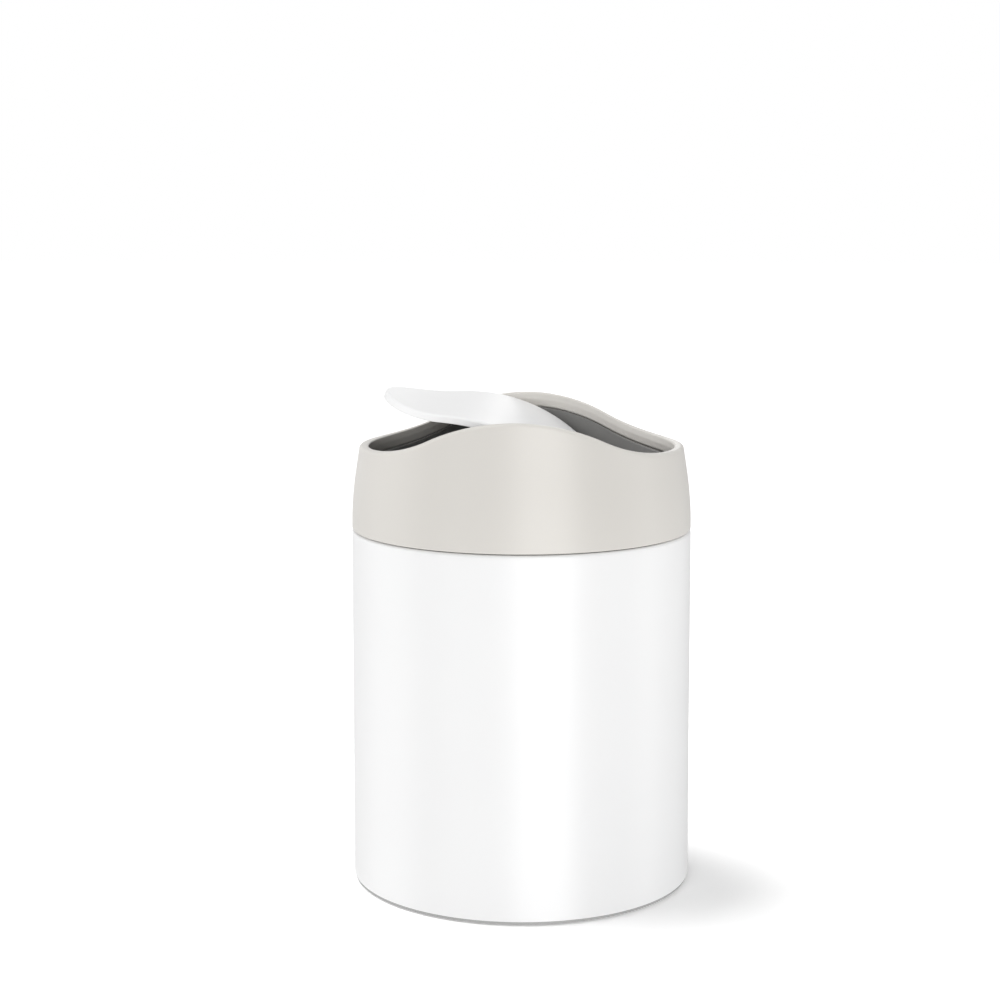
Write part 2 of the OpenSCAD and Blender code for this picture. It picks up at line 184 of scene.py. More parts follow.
def makeMaterial(name, finish):
    f = plain | finish
    material = bpy.data.materials.new(name)
    material.use_nodes = True
    tree = material.node_tree
    shader = tree.nodes["Principled BSDF"]
    where = addNode(tree, "TexCoord").outputs["Object"]
    if "stretch" in f:  # drawn steel has its grain along Y
        where = addNode(tree, "Mapping", Vector=where, Scale=f["stretch"]).outputs[0]
    tone = addNode(tree, "Group", node_tree=toneGroup, Vector=where, Tone_A=(*f["a"], 1), Tone_B=(*f["b"], 1),
                   Scale=f["drift"], Speckle_Scale=f["grainScale"], Speckle=f["speckle"])
    grain = addNode(tree, "Group", node_tree=grainGroup, Vector=where, Ripple_Scale=f["rippleScale"],
                    Ripple=f["ripple"], Grain_Scale=f["grainScale"], Grain=f["grain"], Roughness=f["rough"],
                    Spread=f["spread"])
    bump = addNode(tree, "Bump", Height=grain.outputs["Height"], Strength=1.0, Distance=f["depth"] * mm)
    tree.links.new(tone.outputs["Color"], shader.inputs["Base Color"])
    tree.links.new(grain.outputs["Roughness"], shader.inputs["Roughness"])
    tree.links.new(bump.outputs[0], shader.inputs["Normal"])
    shader.inputs["Metallic"].default_value = f["metal"]
    shader.inputs["IOR"].default_value = f["ior"]
    return material


material = {name: makeMaterial(name, finish) for name, finish in finishes.items()}
print("materials ready")


# Shape helpers, in millimetres. A shape is its points and its faces, and a grid is rows of points.
def turn(count):
    # Even angles round a full turn
    return np.linspace(0, 2 * np.pi, count, endpoint=False)


fullTurn = turn(512)


def roundedLoop(corners, radii, steps=6, hold=0.3, closed=True):
    # Each corner becomes an arc tangent to its two sides: centre on the bisector, swept between the tangent points.
    # It takes 48% of its shorter side at most. A point on each side past the arc, by hold or by 80% of the room left
    # up to the middle, keeps the flat part's shading. An open loop starts and ends at its end corners.
    p = np.asarray(corners, float)
    r = np.broadcast_to(np.asarray(radii, float), len(p))
    before, after = np.roll(p, 1, 0) - p, np.roll(p, -1, 0) - p
    room = np.minimum(np.linalg.norm(before, axis=1), np.linalg.norm(after, axis=1))
    before /= np.linalg.norm(before, axis=1, keepdims=True)
    after /= np.linalg.norm(after, axis=1, keepdims=True)
    half = np.arccos(np.clip((before * after).sum(1), -1, 1)) / 2
    reach = np.minimum(r / np.tan(half), 0.48 * room)
    r = reach * np.tan(half)
    middle = before + after
    middle /= np.linalg.norm(middle, axis=1, keepdims=True)
    centre = p + middle * (r / np.sin(half))[:, None]
    start = ((p + before * reach[:, None] - centre) / r[:, None])[:, None]
    end = ((p + after * reach[:, None] - centre) / r[:, None])[:, None]
    w = (np.pi - 2 * half)[:, None, None]
    t = np.linspace(0, 1, steps)[None, :, None]
    arc = centre[:, None] + r[:, None, None] * (np.sin((1 - t) * w) * start + np.sin(t * w) * end) / np.sin(w)
    past = (reach + np.minimum(hold, 0.8 * (0.5 * room - reach)))[:, None]
    loop = np.concatenate([(p + before * past)[:, None], arc, (p + after * past)[:, None]], 1)
    if closed:
        return loop.reshape(-1, 2)
    loop[0], loop[-1] = p[0], p[-1]
    return loop.reshape(-1, 2)[steps + 1:-steps - 1]


def gridFaces(rows, columns, wrapRows=False, wrapColumns=True):
    # Quads between neighbouring rows and columns; a wrapped direction closes on itself
    i = np.arange(rows if wrapRows else rows - 1)
    j = np.arange(columns if wrapColumns else columns - 1)
    i, j = np.meshgrid(i, j, indexing="ij")
    nextI, nextJ = (i + 1) % rows, (j + 1) % columns
    corners = [i * columns + j, i * columns + nextJ, nextI * columns + nextJ, nextI * columns + j]
    return np.stack(corners, -1).reshape(-1, 4)


def closedFaces(rows, columns, flip=False):
    # A wrapped grid and the fans that close its first and last rows on two poles, which are the points after it
    j = np.arange(columns)
    nextJ, last, count = (j + 1) % columns, (rows - 1) * columns, rows * columns
    faces = [gridFaces(rows, columns), np.stack([nextJ, j, np.full(columns, count)], 1),
             np.stack([last + j, last + nextJ, np.full(columns, count + 1)], 1)]
    return [block[:, ::-1] for block in faces] if flip else faces


def makeMesh(name, shapes):
    # All shapes of a piece in one mesh, in metres; a list of faces may mix triangles and quads
    points, loops, sides, offset = [], [], [], 0
    for verts, faces in shapes:
        points.append(np.asarray(verts, float) * mm)
        for block in (faces if isinstance(faces, list) else [faces]):
            loops.append((block + offset).ravel())
            sides.append(np.full(len(block), block.shape[1]))
        offset += len(verts)
    points, loops, sides = np.concatenate(points), np.concatenate(loops), np.concatenate(sides)
    mesh = bpy.data.meshes.new(name)
    mesh.vertices.add(len(points))
    mesh.vertices.foreach_set("co", points.ravel())
    mesh.loops.add(len(loops))
    mesh.loops.foreach_set("vertex_index", loops.astype(np.int32))
    mesh.polygons.add(len(sides))
    mesh.polygons.foreach_set("loop_start", (np.cumsum(sides) - sides).astype(np.int32))
    mesh.polygons.foreach_set("use_smooth", np.ones(len(sides), bool))
    mesh.update(calc_edges=True)
    mesh.validate()
    return mesh


def addPiece(name, shapes, body, finish, node):
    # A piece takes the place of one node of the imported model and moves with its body
    mesh = makeMesh(name, shapes)
    mesh.materials.append(material[finish])
    piece = addObject(name, mesh)
    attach(piece, body)
    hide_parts(node)
    print("made", name, len(mesh.polygons), "faces")


def aroundZ(radius, height, angle):
    # Points at that radius and height, at that angle from +X
    return np.stack(np.broadcast_arrays(radius * np.cos(angle), radius * np.sin(angle), height), -1).reshape(-1, 3)


def spin(loop, angle):
    # A closed section carried once round the upright axis
    return aroundZ(loop[:, :1], loop[:, 1:], angle[None]), gridFaces(len(loop), len(angle), True, True)


def turned(corners, radii, columns=64, steps=4):
    # A solid turned about the upright axis: a section with rounded corners, out from the axis and back, low end first
    section = roundedLoop(corners, radii, steps, closed=False)[1:-1]
    poles = [[0, 0, corners[0][1]], [0, 0, corners[-1][1]]]
    points = aroundZ(section[:, :1], section[:, 1:], turn(columns)[None])
    return np.concatenate([points, poles]), closedFaces(len(section), columns)


def rod(radius, low, high, lowEdge, highEdge, columns=64, steps=4):
    # A turned cylinder with rounded ends
    return turned([[0, low], [radius, low], [radius, high], [0, high]], [1, lowEdge, highEdge, 1], columns, steps)


def rim(low, high, edge, steps=5):
    # Insets and heights of a plate's side from its lower face to its upper one, with a quarter round at either edge
    t = np.linspace(0, np.pi / 2, steps)
    inset = edge * (1 - np.sin(t))
    lower = low + edge * (1 - np.cos(t))
    return np.concatenate([inset, inset[::-1]]), np.concatenate([lower, high + low - lower[::-1]])


def insetRows(outline, inset):
    # The outline moved in along its own normals, one row for each inset
    p = np.asarray(outline, float)
    along = np.roll(p, -1, 0) - np.roll(p, 1, 0)
    along /= np.linalg.norm(along, axis=1, keepdims=True)
    return p - inset[:, None, None] * np.stack([along[:, 1], -along[:, 0]], 1)


def raiseRows(rows, height):
    # Flat rows, each raised to its height
    return np.concatenate([rows, np.broadcast_to(height[:, None, None], (*rows.shape[:2], 1))], 2).reshape(-1, 3)


def plate(outline, low, high, edge):
    # A flat plate: the outline carried from low to high along its own normals, closed by a fan at either end
    inset, height = rim(low, high, edge)
    middle = np.mean(outline, 0)
    points = np.concatenate([raiseRows(insetRows(outline, inset), height), [[*middle, low], [*middle, high]]])
    return points, closedFaces(len(height), len(outline))


def holedPlate(outline, hole, low, high, edge):
    # A plate with a round hole at the origin: up its side, in to the hole, down the hole's wall and back, as one ring
    inset, height = rim(low, high, edge)
    outward = outline / np.linalg.norm(outline, axis=1, keepdims=True)
    bore = np.array([hole + edge, hole, hole, hole + edge])[:, None, None] * outward
    points = raiseRows(np.concatenate([insetRows(outline, inset), bore]),
                       np.concatenate([height, [high, high - edge, low + edge, low]]))
    return points, gridFaces(len(height) + 4, len(outline), True, True)


def rectangle(width, depth, corner):
    # A rounded outline about the origin
    w, d = width / 2, depth / 2
    return roundedLoop([[-w, -d], [w, -d], [w, d], [-w, d]], corner, 5, 0.35)


def crossHead(radius, height, slot=0.32, reach=0.62, depth=0.55, dome=0.38, taper=0.35, columns=96):
    # A domed head on a polar grid: the dome falls with the square of the radius, less a cross whose arms have sloping
    # sides, and a plain side of three rows closes it below. Sizes are shares of the radius or the height.
    ring = np.concatenate([np.linspace(0.04, 0.97, 26), [1.0]])[:, None] * radius
    angle = turn(columns)[None]
    x, y = ring * np.cos(angle), ring * np.sin(angle)
    half = slot * radius / 2
    near, far = np.minimum(np.abs(x), np.abs(y)), np.maximum(np.abs(x), np.abs(y))
    cross = np.clip((half - near) / (taper * half) + 1, 0, 1) * np.clip((reach * radius - far) / (0.1 * radius), 0, 1)
    level = height * (1 - dome * (ring / radius) ** 2 - depth * cross)
    side = aroundZ(np.full((3, 1), radius), height * np.array([[0.55], [0.3], [0.02]]), angle)
    poles = [[0, 0, height * (1 - depth)], [0, 0, 0]]
    points = np.concatenate([np.stack([x, y, level], -1).reshape(-1, 3), side, poles])
    return points, closedFaces(len(ring) + 3, columns, flip=True)


def move(shape, x=0.0, y=0.0, z=0.0):
    return shape[0] + np.array([x, y, z]), shape[1]


def turnZ(shape, degrees):
    # Turned about the upright axis
    c, s = math.cos(math.radians(degrees)), math.sin(math.radians(degrees))
    x, y, z = shape[0].T
    return np.stack([x * c - y * s, x * s + y * c, z], 1), shape[1]


def turnOver(shape):
    # Half a turn about X, so that what pointed up points down
    return shape[0] * [1, -1, -1], shape[1]


def layAlongY(shape, side):
    # A quarter turn about X, so that the height runs out along Y, to the front for side -1 and to the back for side 1
    x, y, z = shape[0].T
    return np.stack([x, side * z, -side * y], 1), shape[1]


# Tube: a rolled steel sheet with a curled top edge, and a lapped seam at the back with its weld line outside
tube = dict(radius=60.5, low=1.4, high=126.2, sheet=0.6, footEdge=0.18, curl=2.4,
            lapWidth=8.0, lapLow=8.65, lapStep=0.05, weldWidth=0.35, weldDepth=0.1)


def tubeShape(t):
    # Section: up the outside, three quarters round the curl and back inside it, and down the inside. The lap stands in
    # by one sheet over its width and height, and the weld is a groove with sloping sides at the lap's edge.
    r, low, curlR, back = t["radius"], t["low"], t["curl"] / 2, 90
    inside = r - t["sheet"]
    curlAt = np.array([r - curlR, t["high"] - curlR])
    foot = roundedLoop([[inside, low + 3], [inside, low], [r, low], [r, low + 3]], t["footEdge"], 4, 0.35, closed=False)
    outside = np.stack([np.full(10, r), np.linspace(low + 6, curlAt[1] - 2, 10)], 1)
    swing = np.linspace(0, 1.5 * np.pi, 25)[:, None]
    ring = np.hstack([np.cos(swing), np.sin(swing)])
    hook = np.concatenate([curlAt + curlR * ring, curlAt + (curlR - t["sheet"]) * ring[::-1]])
    step = t["lapStep"] * np.array([1, 0, -1])
    lapRows = np.concatenate([[curlAt[1] - 1], curlAt[1] - t["curl"] + step, t["lapLow"] + step])
    loop = np.concatenate([foot, outside, hook, np.stack([np.full(len(lapRows), inside), lapRows], 1)])
    lapped, welded = np.zeros((2, len(loop), 1))
    lapped[-5:-2] = t["sheet"]
    welded[len(foot):len(foot) + len(outside)] = t["weldDepth"]
    edge = math.degrees(t["lapWidth"] / 2 / inside)
    weld = math.degrees(t["weldWidth"] / 2 / r)
    lapMarks = back + np.add.outer([-edge, edge], [-0.6, -0.12, 0.12, 0.6]).ravel()
    weldMarks = back + edge + weld * np.array([-1.6, -1, -0.4, 0.4, 1, 1.6])
    angle = np.unique(np.concatenate([np.degrees(fullTurn), lapMarks, weldMarks]))
    radius = loop[:, :1] - lapped * (np.abs(angle - back) < edge)
    radius = radius - welded * np.clip(1.5 - np.abs(angle - back - edge) / weld, 0, 1)
    return aroundZ(radius, loop[:, 1:], np.radians(angle)), gridFaces(len(loop), len(angle), True, True)


addPiece("tube", [tubeShape(tube)], "can", "whitePaint", "body_shell")


# Collar: bends in over a long arc to a straight cone, with a turned-down lip that follows a wave
collar = dict(radius=60.5, seam=126.55, land=1.5, bend=125.0, draft=8.5, wall=1.8, crest=169.45, drop=13.4, share=0.537,
              lip=3.8, lipDepth=5.2, lipSlope=0.6, lipKeel=2.5, lipTuck=0.4,
              outerEdge=1.0, innerEdge=0.8, keelEdge=2.0, tipEdge=0.5, rootFillet=0.6, footIn=0.3, footOut=0.45)


def collarRadius(z):
    # An arc up to the end of the bend, then the cone that leaves it at a tangent
    c = collar
    draft = math.radians(c["draft"])
    bendTop = c["seam"] + c["land"] + c["bend"] * math.sin(draft)
    arc = c["radius"] - c["bend"] + np.sqrt(c["bend"] ** 2 - (z - c["seam"] - c["land"]) ** 2)
    cone = c["radius"] - c["bend"] * (1 - math.cos(draft)) - (z - bendTop) * math.tan(draft)
    return np.where(z < bendTop, arc, cone)


def waveHeight(u, span, drop, share):
    # A crest arc out to its share of the half span, then a trough arc the other way up, tangent where they meet
    both = (span ** 2 + drop ** 2) / (2 * drop)
    crestR, troughR = share * both, (1 - share) * both
    u = np.abs(u)
    crest = np.sqrt(np.maximum(crestR ** 2 - u ** 2, 0)) - crestR
    trough = troughR - drop - np.sqrt(np.maximum(troughR ** 2 - (span - u) ** 2, 0))
    return np.where(u < span * share, crest, trough)


def rimWave(x):
    # Height of the rim's crest line over x, in the middle of the lip
    span = float(collarRadius(collar["crest"] - collar["drop"])) - collar["lip"] / 2
    return collar["crest"] + waveHeight(x, span, collar["drop"], collar["share"])


def collarShape(c):
    # Every point has an inset from the outer face and a height. Points of the lip hang below the wave over their own x,
    # and a few rounds settle their radius and height. The lip's inner face slopes down to a keel and tucks back below.
    wall, deep = c["wall"], c["lipDepth"]
    lip = roundedLoop([[0, 4], [0, 0], [c["lip"] - c["lipSlope"], 0], [c["lip"], c["lipKeel"]],
                       [c["lip"] - c["lipTuck"], deep], [wall, deep], [wall, deep + 4]],
                      [1, c["outerEdge"], c["innerEdge"], c["keelEdge"], c["tipEdge"], c["rootFillet"], 1],
                      8, closed=False)
    foot = roundedLoop([[wall, 4], [wall, 0], [0, 0], [0, 4]], [1, c["footIn"], c["footOut"], 1], 5, closed=False)
    radius = np.full((len(lip), len(fullTurn)), float(collarRadius(c["crest"] - c["drop"])))
    for _ in range(8):
        z = rimWave(radius * np.cos(fullTurn)) - lip[:, 1:]
        radius = collarRadius(z) - lip[:, :1]
    footZ = c["seam"] + foot[:, 1:] + 0 * fullTurn
    footR = collarRadius(footZ) - foot[:, :1]
    t = np.linspace(0, 1, 34)[1:-1, None]
    outZ = footZ[-1] + (z[0] - footZ[-1]) * t
    backZ = z[-1] + (footZ[0] - z[-1]) * t[::2]
    allZ = np.concatenate([z, backZ, footZ, outZ])
    allR = np.concatenate([radius, collarRadius(backZ) - wall, footR, collarRadius(outZ)])
    return aroundZ(allR, allZ, fullTurn), gridFaces(*allR.shape, True, True)


# Bosses inside the collar, each with a rib to its wall, and the screws that hold it to the inner ring from below
boss = dict(at=53.0, turns=(30, 150, 210, 330), radius=3.2, bore=1.4, height=12.0, rib=1.8, lap=0.4, lift=0.02,
            tipRoom=1.0)
collarScrew = dict(radius=1.37, length=11.0, tip=0.6, head=2.7, headHeight=1.6, columns=32)
ringThick = 2.5


def bossShapes(b):
    # A turned cup, open below, and a plate that runs from it into the wall
    r, bore, low = b["radius"], b["bore"], collar["seam"] + ringThick + b["lift"]
    high = collar["seam"] + ringThick + b["height"]
    boreTop = collar["seam"] + collarScrew["length"] + b["tipRoom"]
    cup = turned([[0, boreTop], [bore, boreTop], [bore, low], [r, low], [r, high], [0, high]],
                 [0.1, 0.1, 0.1, 0.15, 0.4, 0.1], 48)
    start, end = b["at"] + r - b["lap"], float(collarRadius(high)) - collar["wall"] / 2
    rib = move(plate(rectangle(end - start, b["rib"], 0.15), low, high - 0.3, 0.35), x=(start + end) / 2)
    return [turnZ(shape, degrees) for degrees in b["turns"] for shape in (move(cup, x=b["at"]), rib)]


def screwShapes(s):
    # A cross head that hangs below its seat, and a shank that runs up from it
    shank = rod(s["radius"], 0, s["length"], 0.1, s["tip"], s["columns"])
    return turnOver(crossHead(s["head"], s["headHeight"])), shank


screws = [turnZ(move(shape, x=boss["at"], z=collar["seam"]), degrees)
          for degrees in boss["turns"] for shape in screwShapes(collarScrew)]
addPiece("collar", [collarShape(collar), *bossShapes(boss)], "collar", "warmPlastic", "collar_shell")
addPiece("collarScrews", screws, "collar", "brightSteel", "collar_screws")


# Lid: a wavy steel cover with a turned-down edge, pressed over a dark tray
lid = dict(axis=159.65, tilt=23.5, gap=1.4, rise=5.9, drop=10.0, share=0.53, edge=2.8, skin=0.8, roll=0.9)
lid["radius"] = float(collarRadius(collar["crest"])) - collar["lip"] - lid["gap"]


def tiltLid(points):
    # From the lid's own level frame, turned about its axis and raised to it
    t = math.radians(lid["tilt"])
    x, y, z = points.T
    return np.stack([x * math.cos(t) + z * math.sin(t), y, lid["axis"] - x * math.sin(t) + z * math.cos(t)], 1)


def inLid(shape):
    return tiltLid(shape[0]), shape[1]


def lidTop(x):
    # Height of the lid's upper face over x in its own frame: the same kind of wave as the rim's
    return lid["rise"] + waveHeight(x, lid["radius"], lid["drop"], lid["share"])


def waveDisc(corners, radii, rings=44):
    # A round dish under the lid's wave: rings from the middle of its top, over the edge and back to the middle of its
    # underside. A point at radius r and depth d lies at the wave's height over its own x, less d.
    section = roundedLoop(corners, radii, 7, 0.4, closed=False)
    spread = np.linspace(3, corners[-2][0] - 3, rings)
    top = np.stack([spread, np.full(rings, corners[0][1])], 1)
    under = np.stack([spread[::-1], np.full(rings, corners[-1][1])], 1)
    loop = np.concatenate([section[:1], top, section[1:-1], under, section[-1:]])
    points = aroundZ(loop[:, :1], 0.0, fullTurn)
    points[:, 2] = lidTop(points[:, 0]) - np.repeat(loop[:, 1], len(fullTurn))
    poles = [[0, 0, lid["rise"] - corners[0][1]], [0, 0, lid["rise"] - corners[-1][1]]]
    return tiltLid(np.concatenate([points, poles])), closedFaces(len(loop), len(fullTurn), flip=True)


def coverShape(c):
    # The wave's own skin, rolled over at the edge and turned down
    r, skin, edge = c["radius"], c["skin"], c["edge"]
    return waveDisc([[2, 0], [r, 0], [r, edge], [r - skin, edge], [r - skin, skin], [2, skin]],
                    [1, c["roll"], 0.3, 0.3, 0.3, 1])


addPiece("lidCover", [coverShape(lid)], "lid", "lidPaintShaded", "lid_cover")


# Tray under the lid: its own edge, two ribs, the hubs that hold the pins and the posts that carry the bar
tray = dict(gap=0.05, wall=1.4, edgeWidth=1.4, ribAt=24.0, ribWall=1.2, ribRoot=0.7, ribDepth=2.4, ribEnd=12.0,
            hubRadius=3.2, noseRadius=3.0, noseLap=4.0, pinGrip=8.0, postAt=22.0, postRadius=3.0, barDepth=3.0)
tray["radius"] = lid["radius"] - lid["skin"] - tray["gap"]
tray["top"] = lid["skin"] + tray["gap"]
tray["low"] = tray["top"] + tray["wall"]


def dishShape(t):
    # The tray's own dish, a wall thick, with an edge as deep as the cover's
    r, top, low, inner = t["radius"], t["top"], t["low"], t["radius"] - t["edgeWidth"]
    return waveDisc([[2, top], [r, top], [r, lid["edge"]], [inner, lid["edge"]], [inner, low], [2, low]],
                    [1, 0.35, 0.35, 0.35, 0.4, 1])


def ribShape(t, side):
    # A rounded strip carried along X, hung under the wave and closed by a fan at either end
    half, root, tip = t["ribWall"] / 2, t["low"] - t["ribRoot"], t["low"] + t["ribDepth"]
    strip = roundedLoop([[-half, root], [half, root], [half, tip], [-half, tip]], [0.1, 0.1, 0.45, 0.45], 5, 0.35)
    reach = math.sqrt((t["radius"] - t["ribEnd"]) ** 2 - t["ribAt"] ** 2)
    x = np.linspace(-reach, reach, 72)[:, None]
    grid = np.stack(np.broadcast_arrays(x, side * t["ribAt"] + strip[:, 0], lidTop(x) - strip[:, 1]), -1)
    points = np.concatenate([grid.reshape(-1, 3), grid[[0, -1]].mean(1)])
    return tiltLid(points), closedFaces(len(x), len(strip), flip=True)


def hubShapes(t, side):
    # A hub is a keyhole outline carried along Y, round below the axis and straight up into the tray, with a round nose
    # towards the bush. The post beside it is a turned rod that ends on the bar.
    swing = np.linspace(np.pi, 2 * np.pi, 25)
    roof = lid["rise"] - t["low"] + t["wall"] / 2
    below = t["hubRadius"] * np.stack([np.cos(swing), np.sin(swing)], 1)
    keyhole = np.concatenate([below, [[t["hubRadius"], roof], [-t["hubRadius"], roof]]])
    start = lid["radius"] - t["pinGrip"] - t["wall"]
    hub = plate((keyhole * [1, -side])[::-side], start, t["radius"] - t["gap"], 0.3)
    nose = rod(t["noseRadius"], start + t["noseLap"], lid["radius"], 0.1, 0.3)
    post = rod(t["postRadius"], -t["barDepth"], roof, 0.35, 0.1)
    return inLid(layAlongY(hub, side)), inLid(layAlongY(nose, side)), inLid(move(post, y=side * t["postAt"]))


trayShapes = [dishShape(tray), ribShape(tray, -1), ribShape(tray, 1), *hubShapes(tray, -1), *hubShapes(tray, 1)]
addPiece("lidTray", trayShapes, "lid", "darkPlasticAndShade", "lid_tray")


# Balance bar: a flat zinc-plated bar with cut corners, held by two cross-head screws
bar = dict(length=60.0, width=10.0, thick=5.5, top=-3.0, cut=2.5)
barScrew = dict(pitch=44.0, radius=1.2, length=8.0, tip=0.1, head=2.4, headHeight=1.2, columns=24)


def barShape(b):
    # An eight-cornered outline made a plate
    w, h, c = b["width"] / 2, b["length"] / 2, b["cut"]
    outline = roundedLoop([[w, c - h], [w, h - c], [w - c, h], [c - w, h],
                           [-w, h - c], [-w, c - h], [c - w, -h], [w - c, -h]], 0.5, 4, 0.35)
    return inLid(plate(outline, b["top"] - b["thick"], b["top"], 0.4))


screws = [inLid(move(shape, y=side * barScrew["pitch"] / 2, z=bar["top"] - bar["thick"]))
          for side in (-1, 1) for shape in screwShapes(barScrew)]
addPiece("balanceBar", [barShape(bar)], "lid", "barSteel", "balance_bar")
addPiece("barScrews", screws, "lid", "brightSteel", "bar_screws")


# Inner ring: a plug and flange, a sleeve whose top follows the wave under the lip, two towers and the lid's stops. The
# dark sleeve is a sheet put inside the collar as painted shade under the lip.
innerRing = dict(plug=57.8, plugWall=1.8, plugDepth=18.0, lead=0.9, flange=58.65, flangeIn=52.04, thick=ringThick,
                 wall=1.2, gap=0.3, play=0.15, slotAt=30, slot=3.35, slotTop=12.15, lugOut=3.0,
                 towerWidth=8.8, towerIn=52.09, bushRadius=3.0, stopIn=47.69, stopTop=-6.0, stopSide=4.2, stopLow=-13.0,
                 stopHalfTop=4.0, stopHalfLow=4.33, stopReach=2.8, stopRoot=0.8)
innerRing["drop"] = collar["lipDepth"] + innerRing["gap"]
innerRing["outer"] = float(collarRadius(collar["crest"] - innerRing["drop"])) - collar["wall"] - innerRing["play"]


# The sleeve's dark face inside the collar is painted shade under the lip
def sleeveShape(q, side):
    # Half of the sleeve, between the towers. Its top lies under the wave; its foot steps up over the slots for the
    # bosses, with angles set close on both sides of each step. A fan closes either end.
    outer, inner = q["outer"], q["outer"] - q["wall"]
    end = math.degrees(math.asin((q["towerWidth"] / 2 - 0.2) / outer))
    slot = math.degrees(q["slot"] / inner)
    steps = [place + edge for place in (-q["slotAt"], q["slotAt"]) for edge in (-slot, slot)]
    marks = np.add.outer(steps, [-0.3, -0.02, 0.02, 0.3]).ravel()
    angle = np.unique(np.concatenate([np.linspace(end - 90, 90 - end, 241), marks]))
    overSlot = np.abs(np.abs(angle) - q["slotAt"]) < slot
    low = collar["seam"] + q["thick"] / 2 + np.where(overSlot, q["slotTop"] + q["thick"] / 2, 0)
    angle = np.radians(angle + (180 if side < 0 else 0))
    top = roundedLoop([[outer, 4], [outer, 0], [inner, 0], [inner, 4]], 0.3, 4, 0.25, closed=False)
    foot = roundedLoop([[inner, 3], [inner, 0], [outer, 0], [outer, 3]], 0.2, 3, 0.25, closed=False)
    topR, footR = top[:, :1] + 0 * angle, foot[:, :1] + 0 * angle
    topZ, footZ = rimWave(topR * np.cos(angle)) - q["drop"] - top[:, 1:], low + foot[:, 1:]
    t = np.linspace(0, 1, 14)[1:-1, None]
    outZ, backZ = footZ[-1] + (topZ[0] - footZ[-1]) * t, topZ[-1] + (footZ[0] - topZ[-1]) * t
    radius = np.concatenate([footR, np.full(outZ.shape, outer), topR, np.full(backZ.shape, inner)])
    height = np.concatenate([footZ, outZ, topZ, backZ])
    rows, columns = radius.shape
    points = aroundZ(radius, height, angle)
    ends = points.reshape(rows, columns, 3)[:, [0, -1]].mean(0)
    first = np.arange(rows) * columns
    following, count = np.roll(first, -1), rows * columns
    fans = [np.stack([np.full(rows, count), first, following], 1),
            np.stack([np.full(rows, count + 1), following + columns - 1, first + columns - 1], 1)]
    return np.concatenate([points, ends]), [gridFaces(rows, columns, True, False), *fans]


def flangeShape(q):
    # One section turned once round: the plug with its lead-in, and the flange on which the collar stands
    seam, plugIn, plugLow = collar["seam"], q["plug"] - q["plugWall"], collar["seam"] - q["plugDepth"]
    top = seam + q["thick"]
    section = roundedLoop([[plugIn, plugLow], [q["plug"] - q["lead"], plugLow], [q["plug"], plugLow + 3 * q["lead"]],
                           [q["plug"], seam], [q["flange"], seam], [q["flange"], top], [q["flangeIn"], top],
                           [q["flangeIn"], seam], [plugIn, seam]],
                          [0.3, 0.3, 0.8, 0.2, 0.2, 0.2, 0.35, 0.35, 0.6], 5, 0.4)
    return spin(section, fullTurn[::2])


def lugShapes(q):
    # Plates with a half-round end under the bosses, which the screw heads pull on
    sweep = np.linspace(np.pi / 2, 1.5 * np.pi, 25)
    r, low = boss["radius"], collar["seam"]
    outline = np.concatenate([r * np.stack([np.cos(sweep), np.sin(sweep)], 1), [[q["lugOut"], -r], [q["lugOut"], r]]])
    lug = move(plate(outline, low + boss["lift"], low + q["thick"] - boss["lift"], 0.3), x=boss["at"])
    return [turnZ(lug, degrees) for degrees in boss["turns"]]


def towerShape(q, side):
    # A block bored for the bush, on a polar outline: in each direction as far as the nearest of its sides
    half = q["towerWidth"] / 2
    roof = collar["crest"] - q["drop"] - q["play"] - lid["axis"]
    root = lid["axis"] - collar["seam"] - q["thick"] / 2
    corners = [math.atan2(z, x) for x in (-half, half) for z in (roof, -root)]
    angle = np.unique(np.concatenate([turn(72) - np.pi, corners]))
    c, s = np.cos(angle), np.sin(angle)
    far = np.minimum(half / np.maximum(np.abs(c), 1e-6), np.where(s > 0, roof, root) / np.maximum(np.abs(s), 1e-6))
    outline = (np.stack([far * c, far * s], 1) * [1, -side])[::-side]
    back = math.sqrt(q["outer"] ** 2 - half ** 2)
    return onPivot(holedPlate(outline, q["bushRadius"], q["towerIn"], back, 0.3), side)


def stopShape(q, side):
    # An upright outline of Y and Z made a plate along X, which gets wider as it goes down
    root = q["towerIn"] + q["stopRoot"]
    outline = roundedLoop([[q["stopIn"], q["stopTop"]], [q["stopIn"], q["stopTop"] - q["stopSide"]],
                           [q["stopIn"] + q["stopReach"], q["stopLow"]], [root, q["stopLow"]], [root, q["stopTop"]]],
                          [0.5, 0.6, 0.6, 0.1, 0.1], 5, 0.35)
    points, faces = plate(outline, -1, 1, 0.08)
    y, z, x = points.T
    share = (q["stopTop"] - z) / (q["stopTop"] - q["stopLow"])
    wide = q["stopHalfTop"] + share * (q["stopHalfLow"] - q["stopHalfTop"])
    return np.stack([side * x * wide, side * y, z + lid["axis"]], 1), faces


def onPivot(shape, side):
    # Upright shapes of the pivot, laid along Y and raised to the lid's axis
    return move(layAlongY(shape, side), z=lid["axis"])


ringShapes = [flangeShape(innerRing), sleeveShape(innerRing, 1), sleeveShape(innerRing, -1), *lugShapes(innerRing)]
for side in (-1, 1):
    ringShapes += [towerShape(innerRing, side), stopShape(innerRing, side)]
addPiece("innerRing", ringShapes, "collar", "darkPlasticAndShade", "inner_ring")


# Base ring: a plastic ring with a wall that stands inside the tube and webs under it
baseRing = dict(inner=48.3, outer=60.2, low=0.4, line=1.4, upIn=57.75, upOut=59.25, upTop=7.95, rimTop=4.4, wall=1.5,
                webs=16, webLow=0.47, webHigh=4.33)


